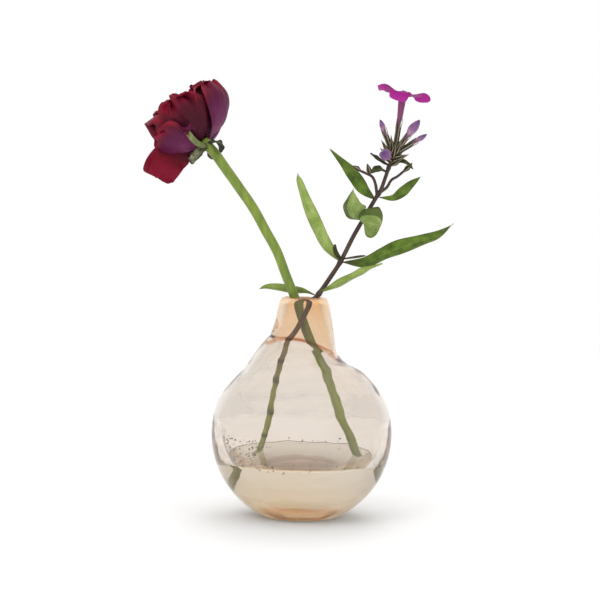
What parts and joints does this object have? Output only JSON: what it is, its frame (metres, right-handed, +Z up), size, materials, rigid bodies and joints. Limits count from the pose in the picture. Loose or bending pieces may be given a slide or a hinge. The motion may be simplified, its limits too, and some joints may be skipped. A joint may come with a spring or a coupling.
{
  "type": "bud vase",
  "caption": "Round blown-glass bud vase with a short tapered neck and a thick base, part filled with water, with a ranunculus and a phlox stem that lift out.",
  "frame": {"origin": "middle of the vase's flat foot, on the surface that it stands on", "axes": "+Z up through the neck; -Y is the front; the ranunculus leans to -X and the phlox to +X"},
  "size_m": [0.1513, 0.09, 0.2152],
  "materials": {
    "vase_glass": "clear champagne glass with an amber cast in the neck, very glossy",
    "water": "clear water, still",
    "ranunculus_stem": "smooth satin green stem, finely ribbed",
    "phlox_stem": "dark brown-purple stem turning olive, then green",
    "leaf": "dark green leaf, satin, with a pale midrib and side veins",
    "leaf_underside": "pale green underside of a leaf, matte, with raised veins",
    "bract": "dusky brown-green bract, matte",
    "calyx": "dark brown-green calyx with pale stripes",
    "bud": "furled violet bud, satin",
    "corolla_tube": "dusky rose tube, satin",
    "phlox_petal": "magenta petal, soft satin",
    "outer_petal": "purple-crimson petal with fine veins, satin",
    "inner_petal": "deep crimson petal, velvety",
    "sepal": "grey-green sepal, matte"
  },
  "bodies": {
    "vase": {"vase_glass": "vase_glass", "water": "water"},
    "ranunculus": {"ranunculus_stem": "ranunculus_stem", "ranunculus_receptacle": "ranunculus_stem", "ranunculus_outer_petal_1": "outer_petal", "ranunculus_outer_petal_2": "outer_petal", "ranunculus_outer_petal_3": "outer_petal", "ranunculus_outer_petal_4": "outer_petal", "ranunculus_middle_petal_1": "inner_petal", "ranunculus_middle_petal_2": "inner_petal", "ranunculus_middle_petal_3": "inner_petal", "ranunculus_middle_petal_4": "inner_petal", "ranunculus_middle_petal_5": "inner_petal", "ranunculus_inner_cup_1": "inner_petal", "ranunculus_inner_cup_2": "inner_petal", "ranunculus_heart": "inner_petal", "ranunculus_hanging_petal": "inner_petal", "ranunculus_sepal_1": "sepal", "ranunculus_sepal_2": "sepal", "ranunculus_sepal_3": "sepal", "ranunculus_side_shoot": "ranunculus_stem"},
    "phlox": {"phlox_stem": "phlox_stem", "phlox_leaf_low_left": "leaf_underside", "phlox_leaf_low_right": "leaf_underside", "phlox_leaf_long_left": "leaf_underside", "phlox_leaf_folded_left": "leaf_underside", "phlox_leaf_folded_right": "leaf_underside", "phlox_leaf_long_right": "leaf", "phlox_leaf_top_left": "leaf", "phlox_leaf_top_right": "leaf", "phlox_axil_shoot_left": "leaf", "phlox_axil_shoot_right": "leaf", "phlox_bract_inner": "bract", "phlox_bract_left": "bract", "phlox_bract_right": "bract", "phlox_branchlet_left": "phlox_stem", "phlox_branchlet_right": "phlox_stem", "phlox_small_bud_1": "calyx", "phlox_small_bud_2": "calyx", "phlox_small_bud_3": "calyx", "phlox_calyx_1": "calyx", "phlox_calyx_2": "calyx", "phlox_calyx_3": "calyx", "phlox_calyx_4": "calyx", "phlox_calyx_5": "calyx", "phlox_calyx_6": "calyx", "phlox_calyx_7": "calyx", "phlox_bud_1": "bud", "phlox_bud_2": "bud", "phlox_bud_3": "bud", "phlox_bud_4": "bud", "phlox_corolla_tube": "corolla_tube", "phlox_petal_1": "phlox_petal", "phlox_petal_2": "phlox_petal", "phlox_petal_3": "phlox_petal", "phlox_petal_4": "phlox_petal", "phlox_petal_5": "phlox_petal"}
  },
  "joints": [
    {"name": "ranunculus_lift", "type": "slide", "parent": "vase", "child": "ranunculus", "axis": [-0.3793, -0.0172, 0.9251], "range_m": [0, 0.105]},
    {"name": "phlox_lift", "type": "slide", "parent": "vase", "child": "phlox", "axis": [0.2931, -0.1418, 0.9455], "range_m": [0, 0.105]}
  ]
}
